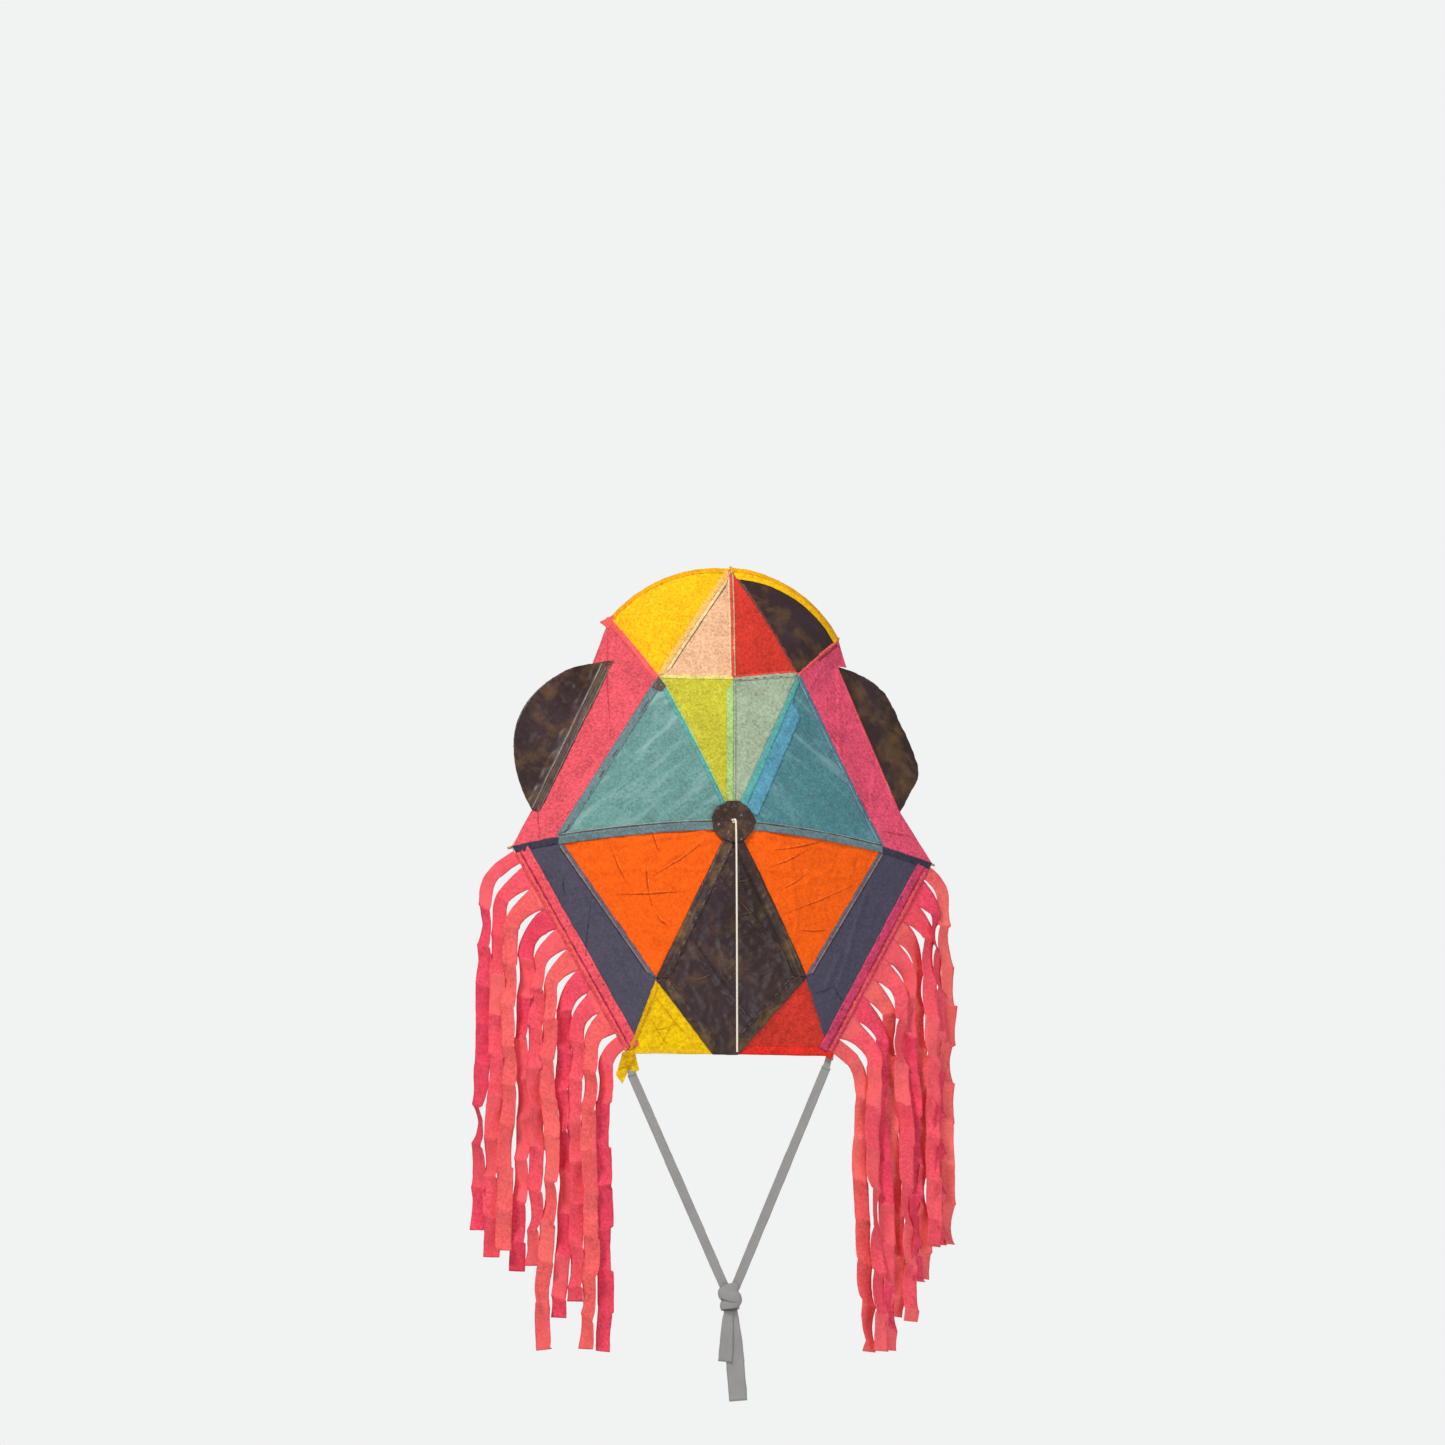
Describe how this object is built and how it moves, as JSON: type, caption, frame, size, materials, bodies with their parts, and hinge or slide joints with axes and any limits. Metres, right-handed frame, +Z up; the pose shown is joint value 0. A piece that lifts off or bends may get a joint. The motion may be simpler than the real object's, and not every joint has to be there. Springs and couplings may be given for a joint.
{
  "type": "paper hexagon kite",
  "caption": "Six-cornered bowed-cane kite of patchwork tissue paper with half-round side flaps, shredded paper fringes, a looped ribbon tail and a short flying line.",
  "frame": {"origin": "where the canes cross at the hub, on the centre line of the front cane; the flying line is tied just in front of it", "axes": "+X to the right seen from the ground side, +Y to the back of the kite, +Z up towards the nose"},
  "size_m": [0.6045, 0.1476, 1.0773],
  "materials": {
    "cane": "matte",
    "thread": "matte",
    "white_line": "matte",
    "grey_ribbon": "matte",
    "yellow_paper": "matte",
    "cream_paper": "matte",
    "red_paper": "matte",
    "black_paper": "satin",
    "lime_paper": "matte",
    "sage_paper": "matte",
    "teal_paper": "matte",
    "blue_paper": "matte",
    "orange_paper": "matte",
    "slate_paper": "matte",
    "pink_paper": "matte",
    "fringe_paper": "matte"
  },
  "bodies": {
    "sail": {"cross_cane": "cane", "diagonal_cane_left": "cane", "diagonal_cane_right": "cane", "spine_cane": "cane", "nose_bow": "cane", "hub_lashing": "thread", "edge_cord": "thread", "paper_lime": "lime_paper", "paper_sage": "sage_paper", "paper_teal_left": "teal_paper", "paper_teal_right": "teal_paper", "paper_orange_left": "orange_paper", "paper_orange_right": "orange_paper", "paper_dark_diamond": "black_paper", "paper_cream": "cream_paper", "paper_red_top": "red_paper", "paper_yellow_top": "yellow_paper", "paper_black_top": "black_paper", "paper_pink_left": "pink_paper", "paper_pink_right": "pink_paper", "paper_yellow_bottom": "yellow_paper", "paper_red_bottom": "red_paper", "paper_blue_strip": "blue_paper", "paper_yellow_hem": "yellow_paper", "paper_slate_left": "slate_paper", "paper_slate_right": "slate_paper", "fringe_header_left": "fringe_paper", "fringe_header_right": "fringe_paper", "corner_fold": "yellow_paper", "hub_disc": "black_paper", "tail_hitches": "grey_ribbon"},
    "hummer_left": {"hummer_left": "black_paper"},
    "hummer_right": {"hummer_right": "black_paper"},
    "fringe_left": {"fringe_strip_left_01": "fringe_paper", "fringe_strip_left_02": "fringe_paper", "fringe_strip_left_03": "fringe_paper", "fringe_strip_left_04": "fringe_paper", "fringe_strip_left_05": "fringe_paper", "fringe_strip_left_06": "fringe_paper", "fringe_strip_left_07": "fringe_paper", "fringe_strip_left_08": "fringe_paper", "fringe_strip_left_09": "fringe_paper", "fringe_strip_left_10": "fringe_paper"},
    "fringe_right": {"fringe_strip_right_01": "fringe_paper", "fringe_strip_right_02": "fringe_paper", "fringe_strip_right_03": "fringe_paper", "fringe_strip_right_04": "fringe_paper", "fringe_strip_right_05": "fringe_paper", "fringe_strip_right_06": "fringe_paper", "fringe_strip_right_07": "fringe_paper", "fringe_strip_right_08": "fringe_paper", "fringe_strip_right_09": "fringe_paper", "fringe_strip_right_10": "fringe_paper"},
    "tail_loop": {"tail_leg_left": "grey_ribbon", "tail_leg_right": "grey_ribbon", "tail_knot": "grey_ribbon"},
    "tail_ends": {"tail_end_long": "grey_ribbon", "tail_end_short": "grey_ribbon"},
    "line": {"line_knot": "white_line", "flying_line": "white_line"}
  },
  "joints": [
    {"name": "hummer_left_flap", "type": "hinge", "parent": "sail", "child": "hummer_left", "pos_m": [-0.157, 0.0868, 0.237], "axis": [-0.3955, -0.0091, -0.9184], "range_deg": [-60, 60], "stiffness_Nm_per_rad": 0.01},
    {"name": "hummer_right_flap", "type": "hinge", "parent": "sail", "child": "hummer_right", "pos_m": [0.1485, 0.0868, 0.249], "axis": [0.369, -0.0093, -0.9294], "range_deg": [-30, 75], "stiffness_Nm_per_rad": 0.01},
    {"name": "fringe_left_swing", "type": "hinge", "parent": "sail", "child": "fringe_left", "pos_m": [-0.27, 0.0818, -0.016], "axis": [0.4714, -0.1098, -0.875], "range_deg": [-55, 55]},
    {"name": "fringe_right_swing", "type": "hinge", "parent": "sail", "child": "fringe_right", "pos_m": [0.267, 0.0818, -0.017], "axis": [-0.4641, -0.1127, -0.8786], "range_deg": [-55, 55]},
    {"name": "tail_loop_swing", "type": "hinge", "parent": "sail", "child": "tail_loop", "pos_m": [-0.117, 0.053, -0.316], "axis": [0.9978, 0, 0.0668], "range_deg": [-75, 75]},
    {"name": "tail_end_swing", "type": "hinge", "parent": "tail_loop", "child": "tail_ends", "pos_m": [0.003, 0.053, -0.60125], "axis": [1, 0, 0], "range_deg": [-70, 70]},
    {"name": "line_swing", "type": "hinge", "parent": "sail", "child": "line", "pos_m": [0, -0.00944, 0], "axis": [1, 0, 0], "range_deg": [-100, 0]}
  ]
}
